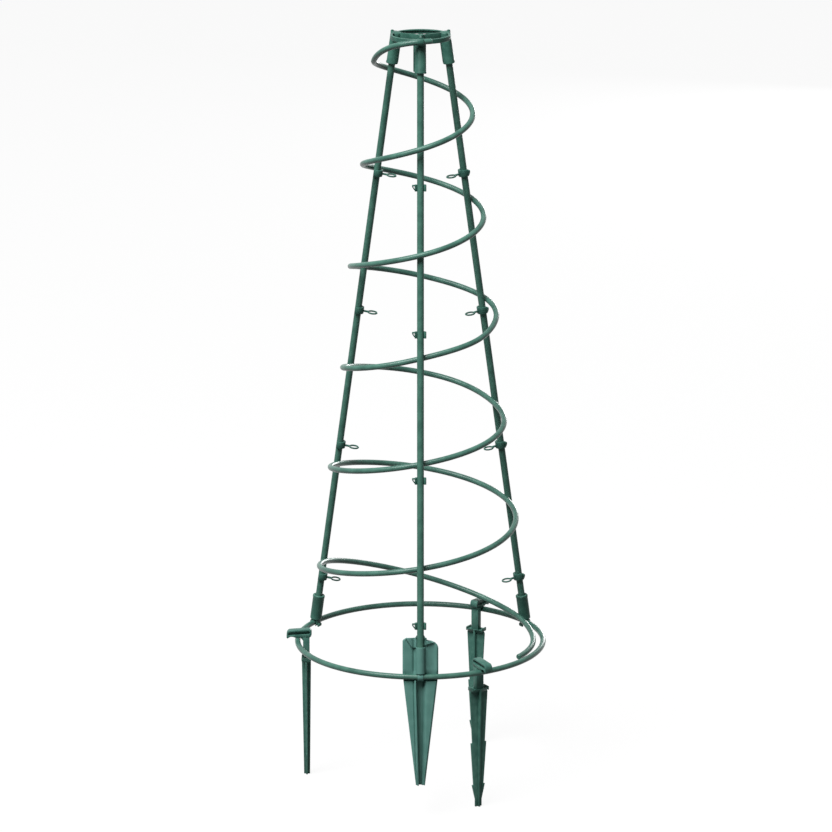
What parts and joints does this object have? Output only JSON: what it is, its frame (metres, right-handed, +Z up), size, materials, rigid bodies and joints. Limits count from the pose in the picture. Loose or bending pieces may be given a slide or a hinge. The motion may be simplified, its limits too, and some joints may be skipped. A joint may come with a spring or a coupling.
{
  "type": "plant support",
  "caption": "Spiral tower for climbing plants: a coil wound round leaning tube legs under a ringed crown, with tie clips, and barbed pegs that hold it in soil.",
  "frame": {"origin": "under the middle of the whole outline, level with the pegs' tips", "axes": "+Z up along the tower, -Y towards the front leg and its ground blade, +X to the right of it"},
  "size_m": [0.4225, 0.4345, 1.2348],
  "materials": {
    "tube_green": "satin",
    "rod_green": "satin",
    "crown_green": "satin",
    "foot_green": "satin",
    "peg_green": "satin",
    "clip_green": "satin"
  },
  "bodies": {
    "tower": {"coil": "rod_green", "ring": "rod_green", "crown": "crown_green", "front_leg": "tube_green", "rear_right_leg": "tube_green", "rear_left_leg": "tube_green", "rear_right_foot": "foot_green", "rear_left_foot": "foot_green", "front_foot": "foot_green"},
    "front_bottom_clip": {"front_bottom_clip": "clip_green"},
    "front_lower_clip": {"front_lower_clip": "clip_green"},
    "front_upper_clip": {"front_upper_clip": "clip_green"},
    "front_top_clip": {"front_top_clip": "clip_green"},
    "rear_right_bottom_clip": {"rear_right_bottom_clip": "clip_green"},
    "rear_right_lower_clip": {"rear_right_lower_clip": "clip_green"},
    "rear_right_upper_clip": {"rear_right_upper_clip": "clip_green"},
    "rear_right_top_clip": {"rear_right_top_clip": "clip_green"},
    "rear_left_bottom_clip": {"rear_left_bottom_clip": "clip_green"},
    "rear_left_lower_clip": {"rear_left_lower_clip": "clip_green"},
    "rear_left_upper_clip": {"rear_left_upper_clip": "clip_green"},
    "rear_left_top_clip": {"rear_left_top_clip": "clip_green"},
    "left_peg": {"left_peg": "peg_green"},
    "rear_right_peg": {"rear_right_peg": "peg_green"},
    "front_right_peg": {"front_right_peg": "peg_green"}
  },
  "joints": [
    {"name": "front_bottom_clip_slide", "type": "slide", "parent": "tower", "child": "front_bottom_clip", "axis": [0, 0.1537, 0.9881], "range_m": [-0.0071, 0.0688]},
    {"name": "front_lower_clip_slide", "type": "slide", "parent": "tower", "child": "front_lower_clip", "axis": [0, 0.1537, 0.9881], "range_m": [-0.1245, 0.0051]},
    {"name": "front_upper_clip_slide", "type": "slide", "parent": "tower", "child": "front_upper_clip", "axis": [0, 0.1537, 0.9881], "range_m": [-0.0202, 0.1093]},
    {"name": "front_top_clip_slide", "type": "slide", "parent": "tower", "child": "front_top_clip", "axis": [0, 0.1537, 0.9881], "range_m": [-0.084, 0.1609]},
    {"name": "rear_right_bottom_clip_slide", "type": "slide", "parent": "tower", "child": "rear_right_bottom_clip", "axis": [-0.1332, -0.0769, 0.9881], "range_m": [-0.0253, 0.1245]},
    {"name": "rear_right_lower_clip_slide", "type": "slide", "parent": "tower", "child": "rear_right_lower_clip", "axis": [-0.1332, -0.0769, 0.9881], "range_m": [-0.0688, 0.0607]},
    {"name": "rear_right_upper_clip_slide", "type": "slide", "parent": "tower", "child": "rear_right_upper_clip", "axis": [-0.1332, -0.0769, 0.9881], "range_m": [-0.1326, 0]},
    {"name": "rear_right_top_clip_slide", "type": "slide", "parent": "tower", "child": "rear_right_top_clip", "axis": [-0.1332, -0.0769, 0.9881], "range_m": [-0.0283, 0.167]},
    {"name": "rear_left_bottom_clip_slide", "type": "slide", "parent": "tower", "child": "rear_left_bottom_clip", "axis": [0.1332, -0.0769, 0.9881], "range_m": [-0.0253, 0.0111]},
    {"name": "rear_left_lower_clip_slide", "type": "slide", "parent": "tower", "child": "rear_left_lower_clip", "axis": [0.1332, -0.0769, 0.9881], "range_m": [-0.0121, 0.1164]},
    {"name": "rear_left_upper_clip_slide", "type": "slide", "parent": "tower", "child": "rear_left_upper_clip", "axis": [0.1332, -0.0769, 0.9881], "range_m": [-0.0769, 0.0536]},
    {"name": "rear_left_top_clip_slide", "type": "slide", "parent": "tower", "child": "rear_left_top_clip", "axis": [0.1332, -0.0769, 0.9881], "range_m": [-0.1397, 0.167]},
    {"name": "left_peg_round_ring", "type": "hinge", "parent": "tower", "child": "left_peg", "pos_m": [0.00703, 0.01331, 0.23], "axis": [0, 0, 1], "range_deg": [-20, 74]},
    {"name": "rear_right_peg_round_ring", "type": "hinge", "parent": "tower", "child": "rear_right_peg", "pos_m": [0.00703, 0.01331, 0.23], "axis": [0, 0, 1], "range_deg": [-6, 78]},
    {"name": "front_right_peg_round_ring", "type": "hinge", "parent": "tower", "child": "front_right_peg", "pos_m": [0.00703, 0.01331, 0.23], "axis": [0, 0, 1], "range_deg": [-15, 24]}
  ]
}
